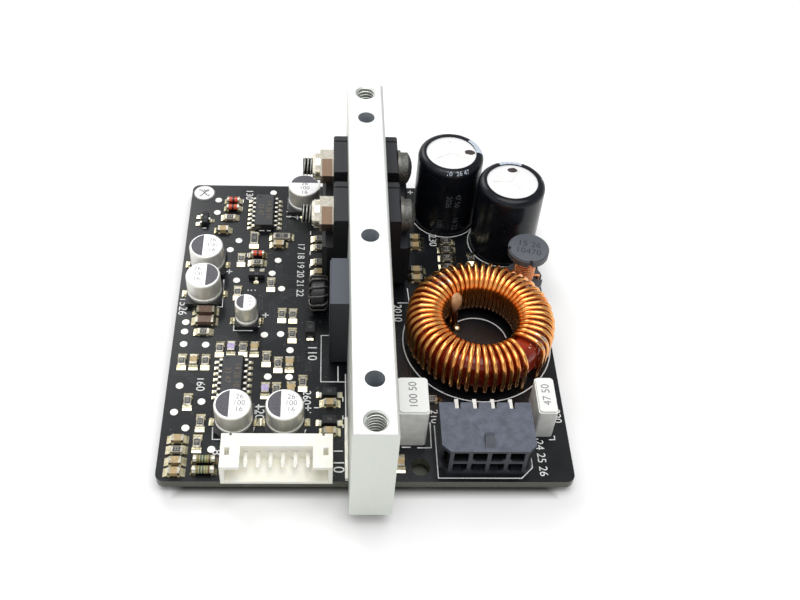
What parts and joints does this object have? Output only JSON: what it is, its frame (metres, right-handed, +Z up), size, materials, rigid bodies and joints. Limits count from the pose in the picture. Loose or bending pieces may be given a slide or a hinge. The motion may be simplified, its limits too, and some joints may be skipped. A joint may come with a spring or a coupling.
{
  "type": "power supply module",
  "caption": "Populated circuit board with an aluminium heat bar down its middle, clamped power transistors, a wound ring choke, capacitors and two edge headers.",
  "frame": {"origin": "under the middle of the module, at the level of the cropped lead tips it stands on", "axes": "+X right seen from the header edge, +Y from the front edge to the rear along the bar, +Z up out of the populated face"},
  "size_m": [0.068, 0.0804, 0.0255],
  "materials": {
    "board_mask": "satin black solder mask on glass epoxy",
    "anodised_aluminium": "fine drawn, clear anodised, satin",
    "can_aluminium": "drawn aluminium can, satin",
    "transistor_epoxy": "moulded epoxy, fine matt grain",
    "resistor_epoxy": "moulded epoxy, satin",
    "ic_epoxy": "moulded epoxy, matt",
    "zinc_steel": "zinc plated steel",
    "dark_steel": "dull zinc plated steel",
    "tinned_copper": "tin plated lead, satin",
    "solder": "bright solder",
    "sleeve_pvc": "heat shrunk PVC sleeve, gloss",
    "core_lacquer": "dark red lacquer on iron powder",
    "enamelled_copper": "enamelled copper wire, gloss varnish",
    "drum_copper": "enamelled copper wire",
    "ferrite": "sintered ferrite, matt",
    "ring_ferrite": "coated ferrite ring",
    "ring_wire": "dark insulated wire",
    "film_box": "moulded white box, satin gloss",
    "slate_nylon": "moulded nylon, slate grey",
    "ivory_nylon": "moulded nylon, ivory",
    "base_plastic": "moulded black plastic",
    "chip_black": "glazed resistor body",
    "chip_tan": "fired ceramic, tan",
    "chip_brown": "fired ceramic, dark brown",
    "chip_violet": "fired ceramic, violet",
    "diode_glass": "orange glass",
    "film_lacquer": "lacquered film resistor",
    "sticker_paper": "white paper"
  },
  "bodies": {
    "root": {"circuit_board": "board_mask", "heat_bar": "anodised_aluminium", "earth_strip": "solder", "power_transistors": "transistor_epoxy", "transistor_leads": "tinned_copper", "clamp_bolts": "dark_steel", "clamp_nuts": "zinc_steel", "clamp_washers": "zinc_steel", "power_resistor": "resistor_epoxy", "resistor_leads": "tinned_copper", "bulk_cans": "can_aluminium", "bulk_sleeves": "sleeve_pvc", "bulk_leads": "tinned_copper", "choke_core": "core_lacquer", "choke_winding": "enamelled_copper", "drum_core": "ferrite", "drum_winding": "drum_copper", "drum_leads": "drum_copper", "film_box_large": "film_box", "film_box_small": "film_box", "film_leads": "tinned_copper", "power_header": "slate_nylon", "power_pins": "tinned_copper", "signal_header": "ivory_nylon", "signal_pins": "tinned_copper", "board_cans": "can_aluminium", "can_bases": "base_plastic", "can_tabs": "solder", "ic_bodies": "ic_epoxy", "ic_leads": "tinned_copper", "chip_resistors": "chip_black", "chip_capacitors_tan": "chip_tan", "chip_capacitors_brown": "chip_brown", "chip_capacitors_violet": "chip_violet", "chip_ends": "solder", "glass_diodes": "diode_glass", "film_resistors": "film_lacquer", "melf_ends": "solder", "small_transistors": "ic_epoxy", "small_leads": "tinned_copper", "small_diodes": "ic_epoxy", "diode_tabs": "tinned_copper", "ring_core": "ring_ferrite", "ring_winding": "ring_wire", "solder_lands": "solder", "test_points": "solder", "solder_joints": "solder", "inspection_dot": "sticker_paper"}
  },
  "joints": []
}
